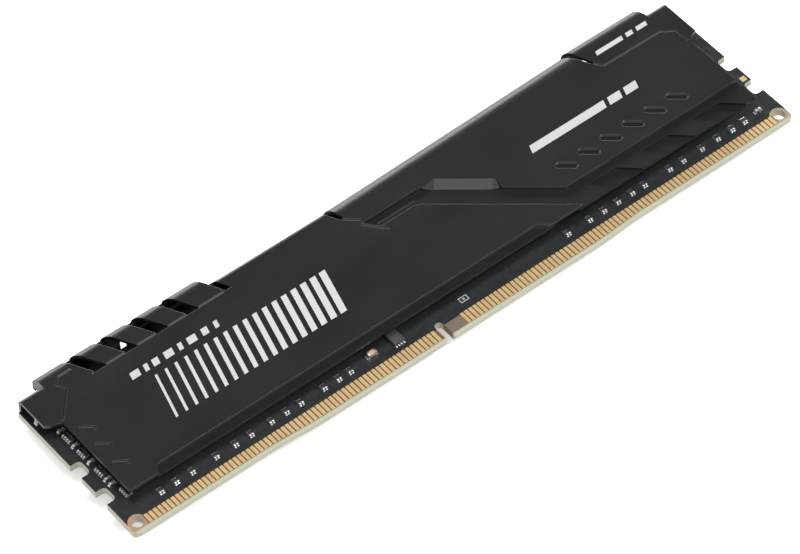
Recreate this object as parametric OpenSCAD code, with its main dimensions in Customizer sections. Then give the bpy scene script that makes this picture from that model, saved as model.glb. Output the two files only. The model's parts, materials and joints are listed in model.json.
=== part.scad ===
// Desktop memory module with two stamped heat spreaders.
// The long axis is X, the contact edge faces -Y and the front spreader faces +Z.
// The origin is the bottom centre of the module as it lies on its rear spreader.

/* [Board] */
// Length of the circuit board
board_length = 133.35; // [132:0.05:135]
// Thickness of the board with its solder mask
board_thickness = 1.4; // [1.2:0.05:1.6]
// Height of the board from contact edge to upper edge
board_height = 31.25; // [30:0.05:32]
// Diameter of the two tooling holes
tooling_hole_d = 2; // [1.5:0.1:2.2]
// Thickness of the solder mask skin
mask_thickness = 0.03; // [0.02:0.01:0.05]

/* [Contacts] */
// Distance between neighbouring contacts
contact_pitch = 0.85; // [0.8:0.01:0.87]
// Width of one gold contact
contact_width = 0.6; // [0.5:0.01:0.7]
// Thickness of the contact plating
contact_thickness = 0.04; // [0.03:0.01:0.06]
// Number of contacts left of the key notch
short_row_count = 67; // [60:1:67]
// Number of contacts right of the key notch
long_row_count = 77; // [70:1:77]
// Width of the key notch
key_width = 1.5; // [1.3:0.05:1.6]

/* [Memory chips] */
// Width of one memory chip
chip_width = 7.5; // [7:0.1:8]
// Height of one memory chip
chip_height = 11; // [10:0.1:11.5]
// Thickness of one memory chip body
chip_thickness = 0.85; // [0.7:0.05:0.9]
// Height of the solder ball layer under a chip
ball_height = 0.3; // [0.25:0.05:0.35]
// Diameter of one solder ball
ball_d = 0.46; // [0.4:0.02:0.5]

/* [Heat spreaders] */
// Thickness of the whole module between the spreader faces
module_thickness = 7.2; // [7:0.05:7.6]
// Height of the whole module from contact edge to the highest flange
module_height = 34.1; // [33.6:0.1:35]
// Thickness of the stamped sheet
sheet = 0.6; // [0.5:0.05:0.7]
// Outer bend radius of the high flanges
high_bend_r = 2.4; // [2:0.1:2.6]
// Outer bend radius of the low flanges
low_bend_r = 1; // [0.8:0.05:1.1]
// Depth of the stamped valley and lower strip below the face
valley_depth = 0.5; // [0.4:0.05:0.55]
// Depth of the three corner recesses below the valley
recess_depth = 0.4; // [0.2:0.05:0.45]
// Depth of the six slanted pill recesses
pill_depth = 0.25; // [0.2:0.05:0.4]
// Pitch of the six slanted pill recesses
pill_pitch = 4.67; // [4.3:0.01:4.8]
// Pitch of the four slots in the left band
slot_pitch = 6; // [5.5:0.1:6.2]
// Thickness of the printed ink
ink = 0.02; // [0.01:0.01:0.04]

/* [Hidden] */
$fn = 48;

spreader_colour = "#2e2d2b";
mask_colour = "#20282a";
laminate_colour = "#b7bd9c";
gold_colour = "#d8b878";
solder_colour = "#c9ccce";
chip_colour = "#232323";
tape_colour = "#8f9296";
print_colour = "#c8c8c4";

// Places on the board
half_length = board_length / 2;
mid_z = module_thickness / 2;
edge_y = -module_height / 2;
board_top_y = edge_y + board_height;
board_front_z = mid_z + board_thickness / 2;
laminate_front_z = board_front_z - mask_thickness;
laminate_thickness = board_thickness - 2 * mask_thickness;
key_x = -5.575;
key_top = 3.7;
mask_edge = 2.7;
contact_top = 2.85;
edge_step = 0.5;
edge_chamfer_y = 0.5;
edge_chamfer_z = 0.3;
corner_r = 1;
notch_depth = 1.8;
notch_corner_r = 0.75;
lower_notch = [8, 11];
upper_notch = [14.6, 17.6];
left_hole = [-65.1, -14.7];
right_hole = [65, -14.8];
hole_ring_r = 1.55;
short_row_x = key_x - 1.65 - contact_pitch * (short_row_count - 1);
long_row_x = key_x + 4.3;
contact_foot = 0.05;
test_pad_place = [65.75, -5.15];
test_pad_size = 1;
test_pad_gap = 0.05;

// The contact edge steps up by edge_step towards both ends: [x, height above the lowest edge]
edge_path = [
    [-half_length, edge_step], [-40, edge_step], [-37.4, 0.82 * edge_step],
    [-33.6, 0.18 * edge_step], [-31, 0], [24.5, 0], [27.4, 0.18 * edge_step],
    [31.6, 0.82 * edge_step], [34.5, edge_step], [half_length, edge_step]
];

chamfer_path = concat(
    [edge_path[0] - [1, 0]], [for (i = [1 : len(edge_path) - 2]) edge_path[i]],
    [edge_path[len(edge_path) - 1] + [1, 0]]
);
turned_chamfer_path = [for (i = [len(chamfer_path) - 1 : -1 : 0]) [-chamfer_path[i][0], chamfer_path[i][1]]];

// Places on the spreader
face_z = module_thickness;
valley_z = face_z - valley_depth;
recess_z = valley_z - recess_depth;
top_y = module_height / 2;
low_top_y = 14.3;
diagonal = -39.8;
spreader_bottom_y = -11.1;
cut_overlap = 0.2;

// Memory chip places, the same on both faces
chip_y = -0.5;
chip_x = [-55.7, -45.3, -34.9, -24.5, 26.5, 36.8, 47.1, 57.4];
chip_bottom_z = board_front_z + ball_height;
chip_top_z = chip_bottom_z + chip_thickness;
ball_pitch = 0.8;

// Tape outlines
left_tape = [[-60, -8.9], [-20, -8.9], [-20, 10.5], [-60, 10.5]];
right_tape = [[21.8, -1.2], [27.2, -5.7], [61.5, -5.7], [61.5, 9], [21.8, 9]];

// Small part places on the front face
array_y = -12.2;
front_array_x = [
    -58.88, -55.98, -52.91, -48.31, -44.58, -41.55, -37.58, -34.67, -31.83, -27.21, -24.35, -22.03,
    22.17, 26.72, 29.67, 32.61, 35.58, 38.21, 43.54, 46.42, 50.39, 53.78, 56.9, 59.58
];
rear_array_x = [for (group = [-57, -46, -35, -24, 22, 33, 44, 55]) for (k = [0, 1]) group + 3 * k];
array_size = [1, 1, 0.45];
array_cap = 0.12;
array_cap_share = 0.6;
array_cap_rise = 0.8;
bus_array_place = [[-63.7, 5.1], [-63.7, 1.2], [-63.7, -3.4], [-63, -8.9]];
bus_array_size = [1, 2.1, 0.45];
capacitor_place = [
    [-63.7, 7], [-63.7, 3.2], [-63.7, -0.9], [-63.7, -5.2], [-63.7, -6.4], [62.82, -12]
];
capacitor_size = [1, 0.5, 0.5];
tan_capacitor_place = [[-17.38, -11.86], [-65, 10.6]];
tan_capacitor_size = [1.6, 0.8, 0.8];
spd_centre = [-12.55, -11.4];
spd_size = [2, 3, 0.55];
spd_lead_pitch = 0.5;
spd_lead_size = [0.25, 0.3, 0.03];
mark_place = [0.9, -12.2];
mark_size = [1.6, 1.1];
mark_line = 0.14;
mark_dot_r = 0.2;

// Height of the contact edge above its lowest line at a place along the board
function edge_rise(x) = lookup(x, edge_path);

// ---- shared shapes ----

// A flat plate under a given height
module plate(outline, top, thick) {
    translate([0, 0, top - thick]) linear_extrude(thick) polygon(outline);
}

// Direction that points left of a path at one of its points, long enough to keep a mitred offset even
function mitre(path, i) =
    let (
        last = len(path) - 1,
        before = path[max(i, 1)] - path[max(i, 1) - 1],
        after = path[min(i, last - 1) + 1] - path[min(i, last - 1)],
        a = [-before[1], before[0]] / norm(before),
        b = [-after[1], after[0]] / norm(after)
    )
    (a + b) / (1 + a * b);

// A solid through a list of three-cornered sections
module sweep(sections) {
    n = len(sections);
    polyhedron(
        [for (section = sections) for (corner = section) corner],
        concat(
            [[0, 1, 2]],
            [[3 * n - 1, 3 * n - 2, 3 * n - 3]],
            [for (i = [0 : n - 2]) for (k = [0 : 2])
                [3 * i + k, 3 * i + 3 + k, 3 * i + (k + 1) % 3]],
            [for (i = [0 : n - 2]) for (k = [0 : 2])
                [3 * i + (k + 1) % 3, 3 * i + 3 + k, 3 * i + 3 + (k + 1) % 3]]
        )
    );
}

function raised(point, z) = [point[0], point[1], z];

// Cutter that bevels an edge: the sheet lies left of the path and its upper face is at z = 0.
// runs holds the width of the bevel at each point, and drop is its depth.
module bevel_cutter(path, runs, drop) {
    spare = 0.25;
    sweep([for (i = [0 : len(path) - 1])
        let (side = mitre(path, i) * runs[i], out = path[i] - spare * side, in = path[i] + (1 + spare) * side)
        [raised(in, spare * drop), raised(out, spare * drop), raised(out, -(1 + spare) * drop)]
    ]);
}

// A bevel of one width along a whole path
module even_bevel(path, run, drop) {
    bevel_cutter(path, [for (p = path) run], drop);
}

// The rear of the module repeats the front, turned half a turn about the upright axis
module turned_to_rear() {
    translate([0, 0, module_thickness]) rotate([0, 180, 0]) children();
}

// Layers of the board itself are the same on both faces, notches and key included
module mirrored_to_rear() {
    translate([0, 0, module_thickness]) mirror([0, 0, 1]) children();
}

// ---- board ----

module board_outline() {
    difference() {
        polygon(concat(
            [for (p = edge_path) [p[0], edge_y + p[1]]],
            [[half_length, board_top_y], [-half_length, board_top_y]]
        ));
        for (side = [-1, 1]) for (span = [lower_notch, upper_notch]) latch_notch(side, span);
        translate([key_x, edge_y + key_top - key_width / 2]) circle(d = key_width);
        translate([key_x - key_width / 2, edge_y - 1]) square([key_width, key_top - key_width / 2 + 1]);
        for (place = [left_hole, right_hole]) translate(place) circle(d = tooling_hole_d);
        for (side = [-1, 1]) scale([side, 1]) corner_cut();
    }
}

// What is cut away to round the right lower corner
module corner_cut() {
    low = edge_y + edge_step;
    difference() {
        translate([half_length - corner_r, low - corner_r]) square(2 * corner_r);
        translate([half_length - corner_r, low + corner_r]) circle(r = corner_r);
    }
}

// A side notch with round inner corners
module latch_notch(side, span) {
    low = edge_y + span[0];
    high = edge_y + span[1];
    inner_x = half_length - notch_depth;
    scale([side, 1]) {
        translate([inner_x + notch_corner_r, low]) square([notch_depth, high - low]);
        translate([inner_x, low + notch_corner_r]) square([notch_depth, high - low - 2 * notch_corner_r]);
        for (y = [low + notch_corner_r, high - notch_corner_r])
            translate([inner_x + notch_corner_r, y]) circle(r = notch_corner_r);
    }
}

module laminate_board() {
    color(laminate_colour) difference() {
        translate([0, 0, laminate_front_z - laminate_thickness])
            linear_extrude(laminate_thickness) board_outline();
        translate([0, edge_y, laminate_front_z]) even_bevel(chamfer_path, edge_chamfer_y, edge_chamfer_z);
        translate([0, edge_y, module_thickness - laminate_front_z])
            rotate([0, 180, 0])
                even_bevel(turned_chamfer_path, edge_chamfer_y, edge_chamfer_z);
    }
}

// Mask skin over one face, open at the contact strip and round the tooling holes
module mask_skin(pad_open) {
    translate([0, 0, laminate_front_z]) linear_extrude(mask_thickness) difference() {
        board_outline();
        translate([-half_length - 1, edge_y - 1]) square([board_length + 2, mask_edge + 1]);
        for (place = [left_hole, right_hole]) translate(place) circle(r = hole_ring_r);
        if (pad_open) translate(test_pad_place) square(test_pad_size + 2 * test_pad_gap, center = true);
    }
}

module front_solder_mask() {
    color(mask_colour) mask_skin(true);
}

module rear_solder_mask() {
    color(mask_colour) mirrored_to_rear() mask_skin(false);
}

module side_test_pad() {
    color(gold_colour)
        translate([
            test_pad_place[0] - test_pad_size / 2, test_pad_place[1] - test_pad_size / 2, laminate_front_z
        ])
            cube([test_pad_size, test_pad_size, mask_thickness]);
}

// ---- contacts ----

// One contact from the chamfer to its upper end
module contact(x) {
    bottom = edge_rise(x) + edge_chamfer_y + contact_foot;
    translate([x - contact_width / 2, edge_y + bottom, laminate_front_z])
        cube([contact_width, contact_top - bottom, contact_thickness]);
}

module contact_row(first_x, count) {
    color(gold_colour) for (k = [0 : count - 1]) contact(first_x + contact_pitch * k);
}

module front_short_contact_row() {
    contact_row(short_row_x, short_row_count);
}

module front_long_contact_row() {
    contact_row(long_row_x, long_row_count);
}

module rear_short_contact_row() {
    mirrored_to_rear() contact_row(short_row_x, short_row_count);
}

module rear_long_contact_row() {
    mirrored_to_rear() contact_row(long_row_x, long_row_count);
}

// ---- memory chips ----

module chip_bodies() {
    color(chip_colour) for (x = chip_x)
        translate([x - chip_width / 2, chip_y - chip_height / 2, chip_bottom_z])
            cube([chip_width, chip_height, chip_thickness]);
}

// Two banks of three columns and thirteen rows
module chip_balls() {
    color(solder_colour) for (x = chip_x) for (bank = [-1, 1]) for (column = [1 : 3]) for (row = [-6 : 6])
        translate([x + bank * (column + 1) * ball_pitch, chip_y + row * ball_pitch, board_front_z])
            cylinder(d = ball_d, h = ball_height, $fn = 16);
}

module front_memory_chips() {
    chip_bodies();
}

module rear_memory_chips() {
    turned_to_rear() chip_bodies();
}

module front_chip_solder_balls() {
    chip_balls();
}

module rear_chip_solder_balls() {
    turned_to_rear() chip_balls();
}

// ---- thermal tape ----

module tape() {
    pad_top = face_z - sheet;
    pad_thickness = pad_top - chip_top_z;
    color(tape_colour) {
        plate(left_tape, pad_top, pad_thickness);
        plate(right_tape, pad_top, pad_thickness);
    }
}

module front_thermal_pads() {
    tape();
}

module rear_thermal_pads() {
    turned_to_rear() tape();
}

// ---- small parts ----

// A chip resistor array body with its long axis along Y
module array_body(size) {
    translate([-size[0] / 2 + array_cap, -size[1] / 2, 0])
        cube([size[0] - 2 * array_cap, size[1], size[2]]);
}

// Plated ends of an array: count pairs along Y
module array_ends(size, count) {
    pitch = size[1] / count;
    width = array_cap_share * pitch;
    for (side = [-1, 1]) for (k = [0 : count - 1])
        translate([
            side * (size[0] - array_cap) / 2 - array_cap / 2,
            -size[1] / 2 + pitch * (k + 0.5) - width / 2,
            0
        ]) cube([array_cap, width, array_cap_rise * size[2]]);
}

// A two-terminal chip part lying along X, with its end caps
module chip_part_body(size) {
    translate([-size[0] / 2 + size[0] / 5, -size[1] / 2, 0]) cube([size[0] * 3 / 5, size[1], size[2]]);
}

module chip_part_ends(size) {
    for (side = [-1, 1])
        translate([side * size[0] * 2 / 5 - size[0] / 10, -size[1] / 2, 0])
            cube([size[0] / 5, size[1], size[2]]);
}

module at_board(place) {
    translate([place[0], place[1], board_front_z]) children();
}

// The data arrays stand with their terminals towards the contacts
module data_bodies(xs) {
    color("#2a2a2c") for (x = xs) at_board([x, array_y]) rotate([0, 0, 90]) array_body(array_size);
}

module data_ends(xs) {
    color(solder_colour) for (x = xs) at_board([x, array_y]) rotate([0, 0, 90]) array_ends(array_size, 2);
}

module front_data_resistor_bodies() {
    data_bodies(front_array_x);
}

module front_data_resistor_ends() {
    data_ends(front_array_x);
}

module rear_data_resistor_bodies() {
    turned_to_rear() data_bodies(rear_array_x);
}

module rear_data_resistor_ends() {
    turned_to_rear() data_ends(rear_array_x);
}

module bus_array_bodies() {
    color("#2a2a2c") for (place = bus_array_place) at_board(place) array_body(bus_array_size);
}

module bus_array_ends() {
    color(solder_colour) for (place = bus_array_place) at_board(place) array_ends(bus_array_size, 4);
}

module small_capacitor_bodies() {
    color("#6d6258") for (place = capacitor_place) at_board(place) chip_part_body(capacitor_size);
}

module small_capacitor_ends() {
    color(solder_colour) for (place = capacitor_place) at_board(place) chip_part_ends(capacitor_size);
}

module tan_capacitor_bodies() {
    color("#a98a62") for (place = tan_capacitor_place) at_board(place) chip_part_body(tan_capacitor_size);
}

module tan_capacitor_ends() {
    color(solder_colour) for (place = tan_capacitor_place) at_board(place) chip_part_ends(tan_capacitor_size);
}

module spd_chip_body() {
    color(chip_colour) at_board(spd_centre)
        translate([-spd_size[0] / 2, -spd_size[1] / 2, spd_lead_size[2]]) cube(spd_size);
}

// Four terminals along each short side, under the edge of the body
module spd_chip_leads() {
    lead_y = spd_size[1] / 2 + spd_lead_size[1] / 6;
    color(solder_colour) at_board(spd_centre) for (side = [-1, 1]) for (k = [-1.5 : 1 : 1.5])
        translate([k * spd_lead_pitch - spd_lead_size[0] / 2, side * lead_y - spd_lead_size[1] / 2, 0])
            cube(spd_lead_size);
}

// A small printed frame with a dot
module silkscreen_mark() {
    color(print_colour) at_board(mark_place) {
        linear_extrude(ink) difference() {
            square(mark_size, center = true);
            square(mark_size - 2 * [mark_line, mark_line], center = true);
        }
        cylinder(r = mark_dot_r, h = ink);
    }
}

// ---- heat spreader ----

// Left plane with the lower middle plane, up to the band crease
left_plane = [
    [-63.6, -11.1], [-57.8, -11.1], [-57.2, -9.75], [17.95, -9.75], [19.6, -11.1], [26.7, -11.1],
    [6.55, 5.9], [5.5, 6.25], [-1.3, 6.25], [-2.3, 7.3], [-3.2, 8.5], [-4.9, 11.2], [-66.4, 11.2],
    [-66.4, 7.45], [-65.5, 6.8], [-63.6, 6.1]
];

// Upper right plane, measured at the foot of its bevels
right_plane = [
    [-3.2, 8.25], [8.5, 8.25], [18.7, -0.12], [26.55, -6.68], [62.95, -6.65],
    [62.95, 4.3], [63.6, 5.6], [65.05, 6.1], [65.05, 11.2], [-4.9, 11.2], [-3.2, 8.5]
];

// Bevelled edges of the planes, with the plane on the left of each path.
// The cut goes a little below the sunk sheet, so that the two never share an edge.
bevel_drop = valley_depth + 0.04;
narrow_run = 0.22;
broad_run = 2.1;
strip_edge = [[-58.1, -11.7], [-57.2, -9.75], [17.95, -9.75], [20.3, -11.7]];
valley_edge = [[27.7, -11.75], [6.55, 5.9], [5.5, 6.25], [-1.3, 6.25]];
right_edge = [
    [-3.4, 8.25], [8.5, 8.25], [10.26, 6.8], [17.56, 0.81], [18.7, -0.12], [26.55, -6.68], [63.5, -6.65]
];
right_edge_runs = [narrow_run, narrow_run, broad_run, broad_run, narrow_run, narrow_run, narrow_run];

// Sunk areas, each reaching a little under the planes round it
lower_strip = [[-58.3, -11.1], [20.5, -11.1], [18.1, -9.2], [-57.5, -9.2]];
valley = [
    [25.8, -11.1], [62.95, -11.1], [62.95, -6.2], [26.8, -6.2], [20, -0.5], [20, 1.4], [11.6, 8.6],
    [-2.8, 8.6], [-1.4, 5.7], [5.2, 5.7], [6.1, 5.4]
];

band_crease_y = 11.2;
band_root_y = 11;
band_left_x = -61.9;
slot_left_x = -53.9;
slot_width = 2.3;
slot_count = 4;
crease_depth = 0.18;
past_top = 18;
high_lip_z = 3.65;
low_lip_z = 4.4;
slot_low_z = 5.1;
slot_lean = 0.55;
broad_bend_r = 3.4;
broad_bend_turn = 1.49;
broad_bend_pivot = [-6, 12.24, 0];
pill_slope = 0.3;

// Corner recesses of the valley, as an outline that starts at each of three places
recess_x = [30.2, 41.2, 52.1];
recess_outline = [[3.3, -12], [9.9, -12], [5.7, -8.2], [0, -8.2]];

// Pills of the right plane
pill_x = 29.78;
pill_y = -3;
pill_size = [3.9, 1.4];
pill_count = 6;

// A plan outline that leans towards -X as it rises from y = from
function leaning(left, right, from, lean_left, lean_right) = [
    [left, from], [right, from],
    [right - lean_right * (past_top - from), past_top], [left - lean_left * (past_top - from), past_top]
];

// Cutter for a fine V crease along a list of points, under a face at z = 0
module crease(path) {
    above = 0.1;
    sweep([for (i = [0 : len(path) - 1])
        let (side = mitre(path, i) * (crease_depth + above))
        [raised(path[i] + side, above), raised(path[i] - side, above), raised(path[i], -crease_depth)]
    ]);
}

// Quarter bend of the sheet about an axis along X
module quarter_bend(x0, x1, flat_y, r) {
    span = x1 - x0;
    translate([x0, flat_y, face_z - r]) rotate([0, 90, 0]) difference() {
        cylinder(r = r, h = span);
        translate([0, 0, -1]) cylinder(r = r - sheet, h = span + 2);
        translate([0, -r - 1, -1]) cube([r + 1, 2 * r + 2, span + 2]);
        translate([-r - 1, -r - 1, -1]) cube([r + 1.001, r + 1, span + 2]);
    }
}

// Flat sheet from flat_from, a quarter bend and a straight lip down to end_z
module bent_lip(x0, x1, lip_y, r, end_z, flat_from = band_crease_y - cut_overlap) {
    flat_y = lip_y - r;
    translate([x0, flat_from, face_z - sheet]) cube([x1 - x0, flat_y - flat_from, sheet]);
    quarter_bend(x0, x1, flat_y, r);
    translate([x0, lip_y - sheet, end_z]) cube([x1 - x0, sheet, face_z - r - end_z]);
}

// Keeps what lies over a plan outline
module over(outline) {
    intersection() {
        translate([0, 0, -1]) linear_extrude(face_z + 2) polygon(outline);
        children();
    }
}

module left_band() {
    difference() {
        over(leaning(band_left_x, -28.2, band_root_y, 0, 0.5))
            bent_lip(band_left_x, -28, top_y, high_bend_r, high_lip_z);
        for (k = [0 : slot_count - 1])
            translate([0, 0, slot_low_z]) linear_extrude(face_z)
                polygon(leaning(
                    slot_left_x + slot_pitch * k, slot_left_x + slot_pitch * k + slot_width,
                    band_crease_y, slot_lean, slot_lean
                ));
    }
    band_end();
}

// Web that closes the left end of the band above the low corner lip
module band_end() {
    bend_y = top_y - high_bend_r;
    web_y = low_top_y - 1.3;
    translate([band_left_x, 0, 0]) {
        translate([0, web_y, face_z - high_bend_r]) cube([sheet, bend_y - web_y, high_bend_r]);
        translate([0, web_y, low_lip_z]) cube([sheet, top_y - web_y, face_z - high_bend_r - low_lip_z]);
        intersection() {
            translate([0, bend_y, face_z - high_bend_r])
                rotate([0, 90, 0]) cylinder(r = high_bend_r, h = sheet);
            translate([0, bend_y - 0.2, face_z - high_bend_r])
                cube([sheet, high_bend_r + 1, high_bend_r + 1]);
        }
    }
}

module middle_band() {
    over(leaning(-27, -5.3, band_root_y, 0.5, 0.5)) bent_lip(-31, -5, low_top_y, low_bend_r, low_lip_z);
}

// The broad soft bend, which rises slowly towards the right
module right_band() {
    over(leaning(-4.6, 47.3, band_root_y, 0.22, 0.53))
        translate(broad_bend_pivot) rotate([0, 0, broad_bend_turn]) translate(-broad_bend_pivot)
            bent_lip(
                -9, 49, broad_bend_pivot[1] + broad_bend_r, broad_bend_r, face_z - broad_bend_r - 0.05, 9.4
            );
}

module raised_tab() {
    over(leaning(47.8, 61.9, band_root_y, 0.42, 0.285)) bent_lip(43, 62, top_y, high_bend_r, high_lip_z);
}

module corner_lips() {
    bent_lip(-66.4, band_left_x + 0.1, low_top_y, low_bend_r, low_lip_z);
    bent_lip(60.2, 65.05, low_top_y, low_bend_r, low_lip_z);
}

// Left plane with the bevels that face the strip and the valley
module left_sheet() {
    difference() {
        plate(left_plane, face_z, sheet);
        translate([0, 0, face_z]) even_bevel(strip_edge, narrow_run, bevel_drop);
        translate([0, 0, face_z]) even_bevel(valley_edge, narrow_run, bevel_drop);
    }
}

// Right plane with its narrow bevels and the broad bevel above the valley
module right_sheet() {
    difference() {
        plate(right_plane, face_z, sheet);
        translate([0, 0, face_z]) bevel_cutter(right_edge, right_edge_runs, bevel_drop);
    }
}

// Sunk areas with the three corner recesses
module sunk_sheet() {
    plate(lower_strip, valley_z, sheet);
    difference() {
        plate(valley, valley_z, sheet);
        for (x = recess_x)
            translate([x, 0, recess_z]) linear_extrude(1) polygon(recess_outline);
    }
}

// A slanted round-ended recess with sloping walls
module pill(x) {
    half_straight = (pill_size[0] - pill_size[1]) / 2;
    rim = pill_size[1] / 2;
    foot = rim - pill_slope;
    translate([x, pill_y, face_z - pill_depth]) rotate([0, 0, diagonal]) {
        for (side = [-1, 1])
            translate([side * half_straight, 0, 0]) cylinder(r1 = foot, r2 = rim, h = pill_depth);
        translate([-half_straight, 0, 0]) rotate([90, 0, 90]) linear_extrude(2 * half_straight)
            polygon([[-foot, 0], [foot, 0], [rim, pill_depth], [-rim, pill_depth]]);
    }
}

// Fine creases pressed into the face
module face_creases() {
    translate([0, 0, face_z]) {
        crease([[-54.4, band_crease_y], [-28.6, band_crease_y]]);
        crease([[-5.3, 11.4], [-4.85, 10.9], [-2.9, 9.2]]);
        crease([[-3.5, 8.4], [-2.5, 7.2], [-0.5, 4.8]]);
        crease([[47.55, 11], [48.5, 9.7], [60.4, 9.65], [62.6, 8.1], [62.7, 5.3]]);
        crease([[-63.4, 6.6], [-59.2, 11.3], [-60.1, 12.9], [-58.9, 14], [-56.4, 14]]);
        for (y = [2.4, -1.8, -6.2]) crease([[-62.3, y + 1.45], [-60.3, y], [-60.5, y - 0.5]]);
    }
    translate([0, 0, valley_z]) crease([[-1, 7.05], [6.4, 7.05], [7.4, 6.3]]);
}

module spreader() {
    color(spreader_colour) difference() {
        union() {
            left_sheet();
            right_sheet();
            sunk_sheet();
            left_band();
            middle_band();
            right_band();
            raised_tab();
            corner_lips();
        }
        for (k = [0 : pill_count - 1]) pill(pill_x + pill_pitch * k);
        face_creases();
    }
}

module front_heat_spreader() {
    spreader();
}

module rear_heat_spreader() {
    turned_to_rear() spreader();
}

// ---- printed graphics ----

// Ink laid on the front face
module printed(outline) {
    translate([0, 0, face_z]) linear_extrude(ink) polygon(outline);
}

// A leaning bar of ink: a lean moves its upper end along +X
module leaning_bar(x, y, width, height, lean) {
    printed([[x, y], [x + width, y], [x + width + lean, y + height], [x + lean, y + height]]);
}

// A short row of small blocks of changing length
module small_row_print() {
    lengths = [1.7, 0.8, 1.2, 1.7, 0.8, 1.7, 1.2, 0.8];
    starts = [0, 2.6, 4.2, 6.5, 9.2, 11, 13.8, 16.2];
    color(print_colour) translate([-50.4, 6, 0])
        for (i = [0 : len(lengths) - 1]) leaning_bar(starts[i], 0, lengths[i], 1.4, 0.35);
}

// A band of slanted stripes that grow wider towards the right
module large_print() {
    stripes = 18;
    color(print_colour) for (i = [0 : stripes - 1])
        leaning_bar(-49.6 + 1.9 * i, -4.2, 0.45 + 0.045 * i, 8.8, 2.4);
}

// A long leaning block with two short ones
module side_print() {
    color(print_colour) {
        leaning_bar(27.2, 2.4, 15.6, 1.6, 0.6);
        leaning_bar(43.6, 2.4, 2.6, 1.6, 0.6);
        leaning_bar(47, 2.4, 2.6, 1.6, 0.6);
    }
}

// A thin rule with three blocks on the tab
module corner_print() {
    color(print_colour) {
        leaning_bar(49, 12.1, 5.6, 0.9, 0.3);
        leaning_bar(55.4, 12.1, 1.4, 0.9, 0.3);
        leaning_bar(57.6, 12.1, 2.2, 0.9, 0.3);
    }
}

// ---- assembly ----

laminate_board();
front_solder_mask();
rear_solder_mask();
front_short_contact_row();
front_long_contact_row();
rear_short_contact_row();
rear_long_contact_row();
front_memory_chips();
rear_memory_chips();
front_chip_solder_balls();
rear_chip_solder_balls();
front_thermal_pads();
rear_thermal_pads();
front_heat_spreader();
rear_heat_spreader();
front_data_resistor_bodies();
front_data_resistor_ends();
rear_data_resistor_bodies();
rear_data_resistor_ends();
bus_array_bodies();
bus_array_ends();
small_capacitor_bodies();
small_capacitor_ends();
tan_capacitor_bodies();
tan_capacitor_ends();
spd_chip_body();
spd_chip_leads();
side_test_pad();
silkscreen_mark();
small_row_print();
large_print();
side_print();
corner_print();
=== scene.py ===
import json
import math

import bmesh
import bpy
from mathutils import Matrix, Vector


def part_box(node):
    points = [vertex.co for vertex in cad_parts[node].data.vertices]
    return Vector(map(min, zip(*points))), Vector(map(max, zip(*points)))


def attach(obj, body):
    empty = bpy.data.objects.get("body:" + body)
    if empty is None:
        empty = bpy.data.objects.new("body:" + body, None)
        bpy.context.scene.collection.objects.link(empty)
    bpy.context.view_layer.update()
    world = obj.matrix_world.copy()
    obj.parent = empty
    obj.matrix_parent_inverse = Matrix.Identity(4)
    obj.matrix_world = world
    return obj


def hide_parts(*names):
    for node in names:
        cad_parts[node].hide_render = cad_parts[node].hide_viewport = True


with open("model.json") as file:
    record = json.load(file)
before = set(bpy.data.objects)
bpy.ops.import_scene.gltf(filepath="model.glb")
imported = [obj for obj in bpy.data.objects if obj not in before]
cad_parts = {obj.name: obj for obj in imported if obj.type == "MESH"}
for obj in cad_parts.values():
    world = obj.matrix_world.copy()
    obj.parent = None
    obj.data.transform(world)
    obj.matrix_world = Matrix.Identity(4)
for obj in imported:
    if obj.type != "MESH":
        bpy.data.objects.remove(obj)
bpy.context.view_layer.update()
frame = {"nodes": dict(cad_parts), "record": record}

MM = 0.001
NODES = frame["nodes"]

# In millimetres: the board's middle plane, and how far from it the spreaders' faces and the laminate's lie
MIDDLE_Z = sum(corner.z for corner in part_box("laminate_board")) / 2 / MM
FACE_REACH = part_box("front_heat_spreader")[1].z / MM - MIDDLE_Z
LAMINATE_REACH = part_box("laminate_board")[1].z / MM - MIDDLE_Z
# The contact rows end this far from the middle of the board's length
CONTACT_REACH = 63.7
# In metres: corners closer than this are one corner
WELD = 0.001 * MM


# ---- node helpers ----

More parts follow.
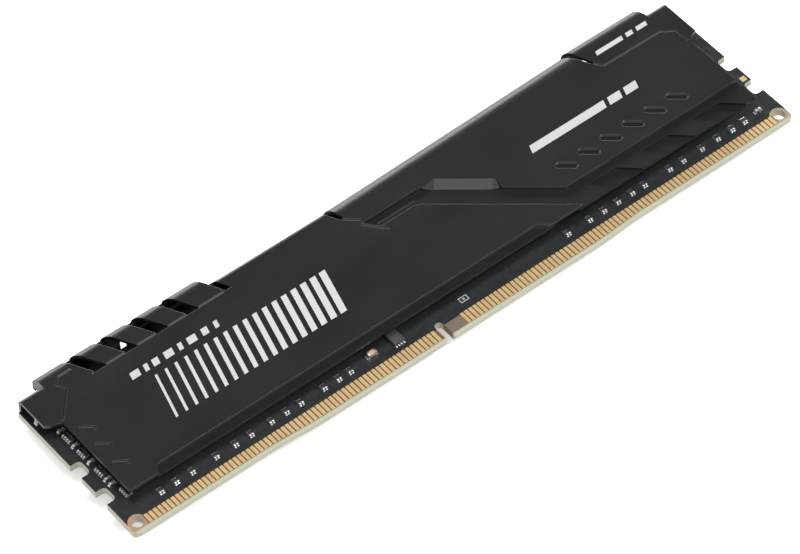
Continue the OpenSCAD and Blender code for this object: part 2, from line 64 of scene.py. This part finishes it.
class Shader:
    """A new material with a principled surface, and short ways to add nodes to it."""

    def __init__(self, name, colour, roughness, metallic=0.0):
        self.material = bpy.data.materials.new(name)
        self.material.use_nodes = True
        self.tree = self.material.node_tree
        self.surface = self.tree.nodes["Principled BSDF"]
        self.set("Base Color", (*colour, 1.0))
        self.set("Roughness", roughness)
        self.set("Metallic", metallic)
        self.material.diffuse_color = (*colour, 1.0)
        self._place = None

    def set(self, socket, value):
        self.surface.inputs[socket].default_value = value

    def link(self, output, socket):
        self.tree.links.new(output, self.surface.inputs[socket])

    def feed(self, socket, value):
        """A socket takes either another node's output or a plain value."""
        if isinstance(value, bpy.types.NodeSocket):
            self.tree.links.new(value, socket)
        else:
            socket.default_value = value

    def place(self):
        """Object coordinates in millimetres."""
        if self._place is None:
            coords = self.tree.nodes.new("ShaderNodeTexCoord")
            self._place = self.vector("SCALE", coords.outputs["Object"], scale=1.0 / MM)
        return self._place

    def vector(self, operation, a, b=None, scale=None):
        node = self.tree.nodes.new("ShaderNodeVectorMath")
        node.operation = operation
        self.feed(node.inputs[0], a)
        if b is not None:
            self.feed(node.inputs[1], b)
        if scale is not None:
            node.inputs["Scale"].default_value = scale
        return node.outputs[0]

    def axis(self, which):
        node = self.tree.nodes.new("ShaderNodeSeparateXYZ")
        self.tree.links.new(self.place(), node.inputs[0])
        return node.outputs["XYZ".index(which)]

    def math(self, operation, a, b=0.0, c=None):
        node = self.tree.nodes.new("ShaderNodeMath")
        node.operation = operation
        self.feed(node.inputs[0], a)
        self.feed(node.inputs[1], b)
        if c is not None:
            self.feed(node.inputs[2], c)
        return node.outputs[0]

    def remap(self, value, low, high, to_low=0.0, to_high=1.0):
        node = self.tree.nodes.new("ShaderNodeMapRange")
        self.feed(node.inputs["Value"], value)
        node.inputs["From Min"].default_value = low
        node.inputs["From Max"].default_value = high
        node.inputs["To Min"].default_value = to_low
        node.inputs["To Max"].default_value = to_high
        return node.outputs["Result"]

    def between(self, value, low, high, soft=0.05):
        """One between two limits and zero outside them."""
        rise = self.remap(value, low - soft, low + soft)
        fall = self.remap(value, high - soft, high + soft, 1.0, 0.0)
        return self.math("MULTIPLY", rise, fall)

    def stretched(self, x=1.0, y=1.0, z=1.0):
        return self.vector("MULTIPLY", self.place(), (x, y, z))

    def noise(self, scale, detail=2.0, rough=0.5, at=None):
        node = self.tree.nodes.new("ShaderNodeTexNoise")
        self.tree.links.new(at or self.place(), node.inputs["Vector"])
        node.inputs["Scale"].default_value = scale
        node.inputs["Detail"].default_value = detail
        node.inputs["Roughness"].default_value = rough
        return node.outputs["Fac"]

    def cells(self, scale, randomness=1.0):
        """Distance to the nearest of many scattered points."""
        node = self.tree.nodes.new("ShaderNodeTexVoronoi")
        self.tree.links.new(self.place(), node.inputs["Vector"])
        node.inputs["Scale"].default_value = scale
        node.inputs["Randomness"].default_value = randomness
        return node.outputs["Distance"]

    def mix(self, factor, a, b):
        node = self.tree.nodes.new("ShaderNodeMix")
        node.data_type = "RGBA"
        self.feed(node.inputs[0], factor)
        self.feed(node.inputs[6], a if isinstance(a, bpy.types.NodeSocket) else (*a, 1.0))
        self.feed(node.inputs[7], b if isinstance(b, bpy.types.NodeSocket) else (*b, 1.0))
        return node.outputs[2]

    def bump(self, height, distance, strength=1.0, normal=None):
        node = self.tree.nodes.new("ShaderNodeBump")
        node.inputs["Strength"].default_value = strength
        node.inputs["Distance"].default_value = distance
        self.tree.links.new(height, node.inputs["Height"])
        if normal is not None:
            self.tree.links.new(normal, node.inputs["Normal"])
        return node.outputs["Normal"]

    def plain_normal(self):
        return self.tree.nodes.new("ShaderNodeNewGeometry").outputs["Normal"]

    def mix_normals(self, factor, a, b):
        node = self.tree.nodes.new("ShaderNodeMix")
        node.data_type = "VECTOR"
        self.feed(node.inputs[0], factor)
        self.feed(node.inputs[4], a)
        self.feed(node.inputs[5], b)
        return self.vector("NORMALIZE", node.outputs[1])

    def round_edges(self, radius):
        node = self.tree.nodes.new("ShaderNodeBevel")
        node.samples = 8
        node.inputs["Radius"].default_value = radius
        return node.outputs["Normal"]


# ---- materials ----

def satin_black():
    """Fine-grained satin paint with faint handling marks, a little paler on its edges."""
    s = Shader("satin_black_paint", (0.006, 0.0059, 0.0056), 0.36)
    s.set("Specular IOR Level", 0.36)
    grain = s.noise(9.0, 3.0, 0.6)
    smears = s.noise(0.06, 4.0, 0.55, s.stretched(1.0, 2.2, 1.0))
    tone = s.math("ADD", s.math("MULTIPLY", grain, 0.35), s.math("MULTIPLY", smears, 0.65))
    s.link(s.mix(s.remap(tone, 0.3, 0.7), (0.005, 0.0049, 0.0046), (0.0075, 0.0073, 0.0068)), "Base Color")
    s.link(s.remap(tone, 0.3, 0.7, 0.33, 0.39), "Roughness")
    specks = s.cells(0.55)
    speck = s.remap(specks, 0.03, 0.05, 1.0, 0.0)
    # Stamping rounds the edges of the outer faces, and shearing leaves the lower edges crisp
    from_middle = s.math("ABSOLUTE", s.math("SUBTRACT", s.axis("Z"), MIDDLE_Z))
    outer = s.remap(from_middle, FACE_REACH - 0.3, FACE_REACH - 0.1)
    edges = s.mix_normals(outer, s.plain_normal(), s.round_edges(0.17 * MM))
    peel = s.bump(grain, 0.006 * MM, 0.8, edges)
    s.link(s.bump(speck, 0.01 * MM, 0.4, peel), "Normal")
    return s.material


def solder_mask():
    """Dark mask with copper tracks and via rims showing through as low relief."""
    s = Shader("solder_mask_dark", (0.013, 0.0152, 0.0158), 0.34)
    x = s.axis("X")
    lane = s.math("PINGPONG", s.math("ADD", x, s.math("MULTIPLY", s.noise(0.12, 1.0), 3.0)), 0.3)
    zone = s.remap(s.noise(0.16, 2.0, 0.5, s.stretched(1.0, 0.4, 1.0)), 0.47, 0.5)
    tracks = s.math("MULTIPLY", s.remap(lane, 0.12, 0.2), zone)
    ring = s.between(s.cells(0.4, randomness=0.9), 0.1, 0.18, 0.03)
    copper = s.math("MAXIMUM", tracks, ring)
    shade = s.mix(copper, (0.0105, 0.0125, 0.0132), (0.014, 0.0162, 0.0166))
    s.link(s.mix(s.remap(s.noise(0.5, 3.0), 0.4, 0.7), shade, (0.013, 0.0152, 0.0158)), "Base Color")
    s.link(s.remap(s.noise(1.5, 3.0), 0.35, 0.65, 0.3, 0.4), "Roughness")
    relief = s.math("ADD", copper, s.math("MULTIPLY", s.noise(5.0, 2.0), 0.3))
    s.link(s.bump(relief, 0.015 * MM, 0.4), "Normal")
    return s.material


def fibreglass():
    """Woven glass and epoxy: a weave on the faces, layers on the cut edges, and between the contacts a brown
    that is partly the laminate's own and partly painted shade and a painted reflection of the gold.
    """
    # In millimetres: the heights of the contacts' upper ends and of the stain round the holes, the middle
    # of the stepped edge, where its slopes start and end and how high it is there, and the bare patch
    contact_top_y = -14.2
    stain_foot_y = -16.25
    stain_top_y = -13.2
    edge_middle_x = -3.2
    slope_start, slope_end = 28.0, 37.5
    low_edge_y, high_edge_y = -16.55, -16.05
    bare_from_x, bare_to_x = -4.7, -1.7
    s = Shader("fibreglass_board", (0.29, 0.3, 0.21), 0.5)
    x = s.axis("X")
    y = s.axis("Y")
    z = s.axis("Z")
    weave = s.math("ADD", s.math("PINGPONG", x, 0.25), s.math("PINGPONG", y, 0.25))
    layers = s.math("PINGPONG", s.math("ADD", z, s.math("MULTIPLY", s.noise(1.5), 0.05)), 0.11)
    base = s.mix(s.remap(weave, 0.1, 0.4), (0.24, 0.255, 0.19), (0.3, 0.315, 0.24))
    base = s.mix(s.remap(layers, 0.02, 0.09, 0.3, 0.0), base, (0.21, 0.22, 0.15))
    base = s.mix(s.remap(s.noise(0.7, 3.0), 0.45, 0.65, 0.0, 0.35), base, (0.3, 0.3, 0.2))
    # The bare faces let the light sink in and look darker than the cut edges
    from_middle = s.math("ABSOLUTE", s.math("SUBTRACT", z, MIDDLE_Z))
    skin = s.remap(from_middle, LAMINATE_REACH - 0.08, LAMINATE_REACH - 0.02)
    base = s.mix(skin, base, (0.2, 0.195, 0.135))
    # Copper colour left round both tooling holes
    beyond = s.remap(s.math("ABSOLUTE", x), CONTACT_REACH, CONTACT_REACH + 0.3)
    stain = s.remap(s.noise(0.55, 2.0, 0.5, s.vector("ADD", s.place(), (0.0, 0.0, 7.0))), 0.47, 0.56)
    above_foot = s.remap(y, stain_foot_y - 0.35, stain_foot_y + 0.35)
    below_top = s.remap(y, stain_top_y - 0.2, stain_top_y + 0.2, 0.45, 0.0)
    stain = s.math("MULTIPLY", stain, s.math("MULTIPLY", beyond, above_foot))
    base = s.mix(s.math("MULTIPLY", stain, below_top), base, (0.46, 0.2, 0.1))
    # The gaps between contacts are painted dark brown: partly the laminate's own colour, partly painted shade
    # between the contacts and a painted reflection of the gold; their lower end follows the stepped edge
    along = s.math("ABSOLUTE", s.math("SUBTRACT", x, edge_middle_x))
    edge_y = s.remap(along, slope_start, slope_end, low_edge_y, high_edge_y)
    above_edge = s.remap(s.math("SUBTRACT", y, edge_y), -0.1, 0.1)
    below_mask = s.remap(y, contact_top_y - 0.1, contact_top_y + 0.1, 1.0, 0.0)
    band = s.math("MULTIPLY", s.math("MULTIPLY", above_edge, below_mask), s.math("SUBTRACT", 1.0, beyond))
    base = s.mix(band, base, (0.13, 0.065, 0.022))
    bare = s.math("MULTIPLY", s.between(x, bare_from_x, bare_to_x, 0.1), band)
    s.link(s.mix(bare, base, (0.13, 0.105, 0.08)), "Base Color")
    s.link(s.remap(weave, 0.1, 0.4, 0.42, 0.58), "Roughness")
    relief = s.math("ADD", weave, s.math("MULTIPLY", s.noise(6.0, 3.0), 0.5))
    s.link(s.bump(relief, 0.02 * MM, 0.6), "Normal")
    return s.material


def gold_plate():
    """Soft gold, pinker on some contacts than on others, with fine wipe marks along the contacts."""
    s = Shader("gold_plate", (0.8, 0.56, 0.26), 0.5, 0.8)
    lane = s.math("PINGPONG", s.math("ADD", s.axis("X"), s.math("MULTIPLY", s.noise(0.03, 1.0), 9.0)), 1.3)
    base = s.mix(s.remap(lane, 0.5, 1.3), (0.68, 0.51, 0.24), (0.7, 0.44, 0.24))
    s.link(s.mix(s.remap(s.noise(0.8, 3.0), 0.35, 0.7, 0.0, 0.5), base, (0.78, 0.62, 0.34)), "Base Color")
    wipes = s.noise(3.0, 4.0, 0.6, s.stretched(6.0, 0.5, 1.0))
    s.link(s.remap(wipes, 0.3, 0.7, 0.42, 0.56), "Roughness")
    s.link(s.bump(wipes, 0.006 * MM, 0.6), "Normal")
    return s.material


def moulded_epoxy():
    """Matt black moulding compound with a fine pitted grain."""
    s = Shader("moulded_epoxy", (0.03, 0.03, 0.031), 0.6)
    grain = s.noise(14.0, 4.0, 0.65)
    s.link(s.mix(s.remap(grain, 0.3, 0.7), (0.022, 0.022, 0.023), (0.045, 0.045, 0.046)), "Base Color")
    s.link(s.remap(grain, 0.3, 0.7, 0.5, 0.7), "Roughness")
    s.link(s.bump(grain, 0.015 * MM, 0.8, s.round_edges(0.05 * MM)), "Normal")
    return s.material


def tin():
    """Bright tin with a frosted, slightly uneven skin."""
    s = Shader("bright_tin", (0.62, 0.63, 0.64), 0.36, 1.0)
    frost = s.noise(11.0, 3.0, 0.6)
    s.link(s.mix(s.remap(frost, 0.3, 0.7), (0.54, 0.55, 0.56), (0.7, 0.71, 0.72)), "Base Color")
    s.link(s.remap(frost, 0.3, 0.7, 0.3, 0.44), "Roughness")
    s.link(s.bump(frost, 0.02 * MM, 0.6, s.round_edges(0.05 * MM)), "Normal")
    return s.material


def thermal_tape():
    """Soft grey tape with embedded grains."""
    s = Shader("thermal_tape", (0.36, 0.37, 0.39), 0.8)
    grains = s.cells(5.0)
    tone = s.math("ADD", s.math("MULTIPLY", grains, 0.6), s.math("MULTIPLY", s.noise(2.0, 3.0), 0.4))
    s.link(s.mix(s.remap(tone, 0.2, 0.6), (0.3, 0.31, 0.33), (0.42, 0.43, 0.45)), "Base Color")
    s.link(s.remap(tone, 0.2, 0.6, 0.7, 0.9), "Roughness")
    s.link(s.bump(tone, 0.03 * MM, 0.6), "Normal")
    return s.material


def ceramic(name, dark, light):
    """Fired ceramic with a fine speckle."""
    s = Shader(name, light, 0.42)
    speckle = s.noise(13.0, 3.0, 0.6)
    s.link(s.mix(s.remap(speckle, 0.35, 0.65), dark, light), "Base Color")
    s.link(s.remap(speckle, 0.3, 0.7, 0.34, 0.5), "Roughness")
    s.link(s.bump(speckle, 0.01 * MM, 0.6, s.round_edges(0.05 * MM)), "Normal")
    return s.material


def ink(name, colour, thin, hatched=False):
    """Printed ink: an uneven cover that follows the screen's mesh, and fine slanted lines if hatched."""
    s = Shader(name, colour, 0.5)
    cover = s.noise(3.5, 3.0, 0.6)
    screen = s.math("MULTIPLY", s.math("PINGPONG", s.axis("X"), 0.09), s.math("PINGPONG", s.axis("Y"), 0.09))
    tone = s.math("ADD", s.math("MULTIPLY", cover, 0.8), s.math("MULTIPLY", screen, 12.0))
    shade = s.mix(s.remap(tone, 0.25, 0.6), thin, colour)
    if hatched:
        across = s.math("MULTIPLY_ADD", s.axis("X"), 0.35, s.axis("Y"))
        line = s.remap(s.math("PINGPONG", across, 0.21), 0.13, 0.17, 0.0, 0.55)
        shade = s.mix(line, shade, (0.2, 0.2, 0.2))
    s.link(shade, "Base Color")
    s.link(s.remap(tone, 0.25, 0.6, 0.6, 0.45), "Roughness")
    s.link(s.bump(tone, 0.004 * MM, 0.6), "Normal")
    return s.material


def pale_floor():
    """Plain pale floor with a little light of its own, so that it stays white beside the object."""
    s = Shader("pale_floor", (0.93, 0.93, 0.92), 0.9)
    fibre = s.noise(1.2, 3.0)
    s.link(s.mix(s.remap(fibre, 0.3, 0.7), (0.92, 0.92, 0.91), (0.94, 0.94, 0.93)), "Base Color")
    s.set("Emission Color", (1.0, 1.0, 0.985, 1.0))
    s.set("Emission Strength", 0.4)
    return s.material


# ---- camera, light and floor ----

# The spreader's flat face mirrors this direction, which a studio keeps unlit so that black stays black
DARK_DIRECTION = (0.3, 0.5, 0.72)
DARK_SKY = 0.05
BRIGHT_SKY = 0.98
# In degrees from that direction: where the dark patch is darkest, and where it has ended
DARK_CORE = 14
DARK_RIM = 46

# Where the camera stands, in millimetres, and its view and its right-hand side
CAMERA_PLACE = (-292.498, -384.553, 573.323)
CAMERA_FORWARD = (0.38789, 0.51400, -0.76508)
CAMERA_RIGHT = (0.78069, -0.62446, -0.02373)
CAMERA_LENS = 211.2

# In metres
FLOOR_HALF = 3.0
FLOOR_DROP = 0.02 * MM


def make_camera():
    data = bpy.data.cameras.new("camera")
    data.sensor_width = 36.0
    data.lens = CAMERA_LENS
    data.clip_start = 0.05
    data.clip_end = 20.0
    camera = bpy.data.objects.new("camera", data)
    bpy.context.collection.objects.link(camera)
    forward = Vector(CAMERA_FORWARD).normalized()
    right = Vector(CAMERA_RIGHT).normalized()
    up = right.cross(forward)
    turn = Matrix((right, up, -forward)).transposed().to_4x4()
    camera.matrix_world = Matrix.Translation(Vector(CAMERA_PLACE) * MM) @ turn
    bpy.context.scene.camera = camera


def area_light(name, place, size, power):
    """A rectangular lamp that faces the object."""
    data = bpy.data.lights.new(name, "AREA")
    data.shape = "RECTANGLE"
    data.size, data.size_y = size
    data.energy = power
    light = bpy.data.objects.new(name, data)
    bpy.context.collection.objects.link(light)
    light.location = place
    light.rotation_euler = (-Vector(place)).to_track_quat("-Z", "Y").to_euler()


def make_world():
    """Soft studio surroundings: bright all round, apart from one dark patch behind and above the object."""
    world = bpy.data.worlds.new("studio")
    bpy.context.scene.world = world
    world.use_nodes = True
    tree = world.node_tree
    coords = tree.nodes.new("ShaderNodeTexCoord")
    lean = tree.nodes.new("ShaderNodeVectorMath")
    lean.operation = "DOT_PRODUCT"
    lean.inputs[1].default_value = Vector(DARK_DIRECTION).normalized()
    tree.links.new(coords.outputs["Generated"], lean.inputs[0])
    ramp = tree.nodes.new("ShaderNodeMapRange")
    ramp.interpolation_type = "SMOOTHSTEP"
    ramp.inputs["From Min"].default_value = math.cos(math.radians(DARK_RIM))
    ramp.inputs["From Max"].default_value = math.cos(math.radians(DARK_CORE))
    ramp.inputs["To Min"].default_value = BRIGHT_SKY
    ramp.inputs["To Max"].default_value = DARK_SKY
    tree.links.new(lean.outputs["Value"], ramp.inputs["Value"])
    background = tree.nodes["Background"]
    background.inputs["Color"].default_value = (1.0, 1.0, 1.0, 1.0)
    tree.links.new(ramp.outputs["Result"], background.inputs["Strength"])


def make_floor():
    """A square floor, a little lower than the module so that their faces don't meet."""
    mesh = bpy.data.meshes.new("floor")
    signs = ((-1, -1), (1, -1), (1, 1), (-1, 1))
    mesh.from_pydata([(x * FLOOR_HALF, y * FLOOR_HALF, 0) for x, y in signs], [], [(0, 1, 2, 3)])
    floor = bpy.data.objects.new("floor", mesh)
    bpy.context.collection.objects.link(floor)
    floor.location.z = -FLOOR_DROP
    mesh.materials.append(pale_floor())


bpy.context.scene.view_settings.view_transform = "Standard"
make_camera()
make_world()
make_floor()
# Two lamps glint on the edges that face the contacts and on the broad bevel, and the strip lights the bends
area_light("front_lamp", place=(0.3, -0.45, 0.84), size=(0.3, 0.3), power=6.5)
area_light("top_lamp", place=(-0.02, 0.12, 0.99), size=(0.3, 0.3), power=3.2)
area_light("back_strip", place=(0.45, 0.95, 0.22), size=(1.6, 0.25), power=11.0)

MATERIALS = {
    "spreader": satin_black(),
    "solder_mask": solder_mask(),
    "laminate": fibreglass(),
    "gold": gold_plate(),
    "chip": moulded_epoxy(),
    "solder": tin(),
    "thermal_tape": thermal_tape(),
    "tan_ceramic": ceramic("tan_ceramic", (0.36, 0.25, 0.15), (0.5, 0.37, 0.24)),
    "grey_ceramic": ceramic("grey_ceramic", (0.16, 0.135, 0.115), (0.26, 0.23, 0.2)),
    "resistor": ceramic("resistor_overcoat", (0.008, 0.008, 0.009), (0.018, 0.018, 0.02)),
    "board_ink": ink("board_ink", (0.42, 0.44, 0.42), (0.3, 0.32, 0.3)),
    "print_ink": ink("print_ink", (0.44, 0.445, 0.45), (0.36, 0.365, 0.37)),
}
# The alumina is grey rather than white: painted shade, for parts that sit in the spreaders' shadow
SHADED_ALUMINA = ceramic("alumina_painted_shade", (0.1, 0.1, 0.098), (0.17, 0.17, 0.165))
SUBSTRATE = ceramic("chip_substrate", (0.02, 0.06, 0.035), (0.035, 0.09, 0.05))
HATCHED_INK = ink("hatched_print_ink", (0.5, 0.505, 0.51), (0.42, 0.425, 0.43), hatched=True)

SLOT_OF = {part["node"]: part["material_slot"] for part in frame["record"]["subparts"]}
for name, node in NODES.items():
    node.data.materials.clear()
    node.data.materials.append(HATCHED_INK if name == "large_print" else MATERIALS[SLOT_OF[name]])


# ---- detailed pieces ----

def solids_of(node):
    """The lowest and highest corner of each separate solid in a CAD node, in order along the board."""
    source = bmesh.new()
    source.from_mesh(NODES[node].data)
    bmesh.ops.remove_doubles(source, verts=source.verts, dist=WELD)
    source.verts.index_update()
    source.verts.ensure_lookup_table()
    seen = set()
    found = []
    for start in source.verts:
        if start.index in seen:
            continue
        seen.add(start.index)
        waiting = [start]
        low = start.co.copy()
        high = start.co.copy()
        while waiting:
            corner = waiting.pop()
            low = Vector(map(min, low, corner.co))
            high = Vector(map(max, high, corner.co))
            for edge in corner.link_edges:
                other = edge.other_vert(corner)
                if other.index not in seen:
                    seen.add(other.index)
                    waiting.append(other)
        found.append((low, high))
    source.free()
    return sorted(found, key=lambda box: (round(box[0].x, 6), round(box[0].y, 6)))


def up_at(low, high):
    """Which way leaves the board: +1 on its front face and -1 on its rear face."""
    return 1.0 if (low.z + high.z) / 2 > MIDDLE_Z * MM else -1.0


def add_block(mesh, low, high, radius, finish=0):
    """A block with rounded edges; finish says which of the piece's materials it has."""
    size = high - low
    made = bmesh.ops.create_cube(mesh, size=1.0)["verts"]
    for corner in made:
        corner.co = Vector(low) + Vector((c + 0.5) * s for c, s in zip(corner.co, size))
    edges = list({edge for corner in made for edge in corner.link_edges})
    rounded = bmesh.ops.bevel(mesh, geom=edges, offset=radius, segments=2, profile=0.5, affect="EDGES")
    faces = {face for corner in rounded["verts"] for face in corner.link_faces}
    for face in faces:
        face.material_index = finish


def add_slab(mesh, low, high, up, share_from, share_to, inset, radius, finish=0):
    """A rounded block on part of a box's height, in shares of it away from the board, drawn in at its sides."""
    height = high.z - low.z
    foot = low.z if up > 0 else high.z
    ends = sorted((foot + up * share_from * height, foot + up * share_to * height))
    add_block(
        mesh,
        Vector((low.x + inset[0], low.y + inset[1], ends[0])),
        Vector((high.x - inset[0], high.y - inset[1], ends[1])),
        radius, finish=finish,
    )


def add_prism(mesh, outline, origin, out, up, across, width):
    """A prism: outline holds distances along out and along up, and it runs over a width along across."""
    rings = []
    for side in (-0.5, 0.5):
        rings.append([
            mesh.verts.new(origin + d * out + h * up + side * width * across) for d, h in outline
        ])
    n = len(outline)
    faces = [mesh.faces.new(rings[0]), mesh.faces.new(rings[1][::-1])]
    for i in range(n):
        k = (i + 1) % n
        faces.append(mesh.faces.new((rings[0][k], rings[0][i], rings[1][i], rings[1][k])))
    return faces


def add_terminal(mesh, low, high, out, up, lap, reach):
    """A plated end: it laps over the part's top, and its solder runs down to the board in a hollow curve."""
    skin = 0.02 * MM
    solder_share = 0.8
    curve_steps = 5
    pad_share = 1.3
    pad_margin = 0.03 * MM
    out = Vector(out)
    up = Vector((0, 0, up))
    across = up.cross(out)
    size = high - low
    deep = abs(size.dot(out))
    wide = abs(size.dot(across))
    tall = size.z
    centre = (low + high) / 2
    origin = centre + out * deep / 2 - up * tall / 2
    rise = solder_share * tall
    outline = [(-deep - lap, 0.0), (-deep - lap, tall + skin), (0.0, tall + skin), (skin, tall)]
    for step in range(curve_steps + 1):
        turn = math.radians(90 * step / curve_steps)
        outline.append((skin + reach * (1 - math.cos(turn)), rise * (1 - math.sin(turn)) + skin))
    outline.append((skin + reach, 0.0))
    faces = add_prism(mesh, outline, origin, out, up, across, wide)
    edges = list({edge for face in faces[:2] for edge in face.edges})
    bmesh.ops.bevel(mesh, geom=edges, offset=skin, segments=2, profile=0.5, affect="EDGES")
    pad_end = 2 * skin + pad_share * reach
    pad = [(-deep - lap, 0.0), (-deep - lap, skin), (pad_end, skin), (pad_end, 0.0)]
    add_prism(mesh, pad, origin, out, up, across, wide + pad_margin)


def finish_piece(name, mesh, node, extra=()):
    """Turns the mesh into a piece that stands for a CAD node and takes its finish."""
    bmesh.ops.recalc_face_normals(mesh, faces=mesh.faces)
    data = bpy.data.meshes.new(name)
    mesh.to_mesh(data)
    mesh.free()
    piece = bpy.data.objects.new(name, data)
    bpy.context.collection.objects.link(piece)
    for material in (MATERIALS[SLOT_OF[node]], *extra):
        data.materials.append(material)
    data.shade_smooth()
    data.set_sharp_from_angle(angle=math.radians(50))
    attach(piece, "root")
    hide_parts(node)


def add_ends(ends, boxes, along_x, lap, reach):
    """Every plated end faces away from the part it belongs to."""
    mesh = bmesh.new()
    middles = [(low + high) / 2 for low, high in boxes]
    for low, high in solids_of(ends):
        middle = (low + high) / 2
        home = min(middles, key=lambda m: (m - middle).length)
        away = (middle - home).x if along_x else (middle - home).y
        out = (math.copysign(1, away), 0, 0) if along_x else (0, math.copysign(1, away), 0)
        add_terminal(mesh, low, high, out, up_at(low, high), lap, reach)
    finish_piece(ends + "_detail", mesh, ends)


def make_resistors(bodies, ends, along_x, reach):
    """Resistor arrays: a ceramic block, grey with painted shade, a dark overcoat between its terminals, and
    plated ends.
    """
    mesh = bmesh.new()
    boxes = solids_of(bodies)
    for low, high in boxes:
        up = up_at(low, high)
        inset = (0.11 * MM, 0.03 * MM) if along_x else (0.03 * MM, 0.11 * MM)
        add_slab(mesh, low, high, up, 0.0, 0.8, inset=(0, 0), radius=0.03 * MM, finish=1)
        add_slab(mesh, low, high, up, 0.76, 1.0, inset, radius=0.035 * MM)
    finish_piece(bodies + "_detail", mesh, bodies, extra=(SHADED_ALUMINA,))
    add_ends(ends, boxes, along_x, lap=0.1 * MM, reach=reach)


def make_capacitors(bodies, ends):
    """Ceramic capacitors between two plated ends."""
    mesh = bmesh.new()
    boxes = solids_of(bodies)
    for low, high in boxes:
        inset = (-0.02 * MM, 0.02 * MM)
        add_slab(mesh, low, high, up_at(low, high), 0.04, 0.97, inset, radius=0.05 * MM)
    finish_piece(bodies + "_detail", mesh, bodies)
    add_ends(ends, boxes, True, lap=0.0, reach=0.2 * MM)


def make_memory_chips(node):
    """Each chip is a moulded cap on a thin green substrate."""
    mesh = bmesh.new()
    for low, high in solids_of(node):
        up = up_at(low, high)
        add_slab(mesh, low, high, up, 0.0, 0.24, inset=(0, 0), radius=0.02 * MM, finish=1)
        add_slab(mesh, low, high, up, 0.22, 1.0, inset=(0.06 * MM, 0.06 * MM), radius=0.06 * MM)
    finish_piece(node + "_detail", mesh, node, extra=(SUBSTRATE,))


def make_solder_balls(node):
    """Soldered balls: wide at the waist and narrower where they wet both pads."""
    sides = 8
    # Each ring's share of the height and of the waist's radius
    profile = ((0.0, 0.72), (0.2, 0.93), (0.5, 1.0), (0.8, 0.93), (1.0, 0.72))
    mesh = bmesh.new()
    for low, high in solids_of(node):
        middle = (low + high) / 2
        rings = []
        for share, swell in profile:
            z = low.z + share * (high.z - low.z)
            r = swell * (high.x - low.x) / 2
            turns = [math.tau * k / sides for k in range(sides)]
            rings.append([
                mesh.verts.new((middle.x + r * math.cos(t), middle.y + r * math.sin(t), z)) for t in turns
            ])
        mesh.faces.new(rings[0][::-1])
        mesh.faces.new(rings[-1])
        for lower, upper in zip(rings, rings[1:]):
            for k in range(sides):
                n = (k + 1) % sides
                mesh.faces.new((lower[k], lower[n], upper[n], upper[k]))
    finish_piece(node + "_detail", mesh, node)


def make_thermal_tape(node):
    """The tape with its edges pressed a little round."""
    mesh = bmesh.new()
    mesh.from_mesh(NODES[node].data)
    bmesh.ops.remove_doubles(mesh, verts=mesh.verts, dist=WELD)
    bmesh.ops.dissolve_limit(mesh, angle_limit=math.radians(1), verts=mesh.verts, edges=mesh.edges)
    bmesh.ops.bevel(mesh, geom=list(mesh.edges), offset=0.2 * MM, segments=3, profile=0.6, affect="EDGES")
    finish_piece(node + "_detail", mesh, node)


def make_spd_chip():
    """The small flat package, with solder at each of its terminals."""
    mesh = bmesh.new()
    (low, high), = solids_of("spd_chip_body")
    add_block(mesh, low, high, 0.04 * MM)
    finish_piece("spd_chip_body_detail", mesh, "spd_chip_body")
    add_ends("spd_chip_leads", [(low, high)], False, lap=0.0, reach=0.08 * MM)


for face in ("front", "rear"):
    make_resistors(face + "_data_resistor_bodies", face + "_data_resistor_ends", False, 0.15 * MM)
make_resistors("bus_array_bodies", "bus_array_ends", True, 0.08 * MM)
for kind in ("small_capacitor", "tan_capacitor"):
    make_capacitors(kind + "_bodies", kind + "_ends")
for face in ("front", "rear"):
    make_memory_chips(face + "_memory_chips")
    make_solder_balls(face + "_chip_solder_balls")
    make_thermal_tape(face + "_thermal_pads")
make_spd_chip()
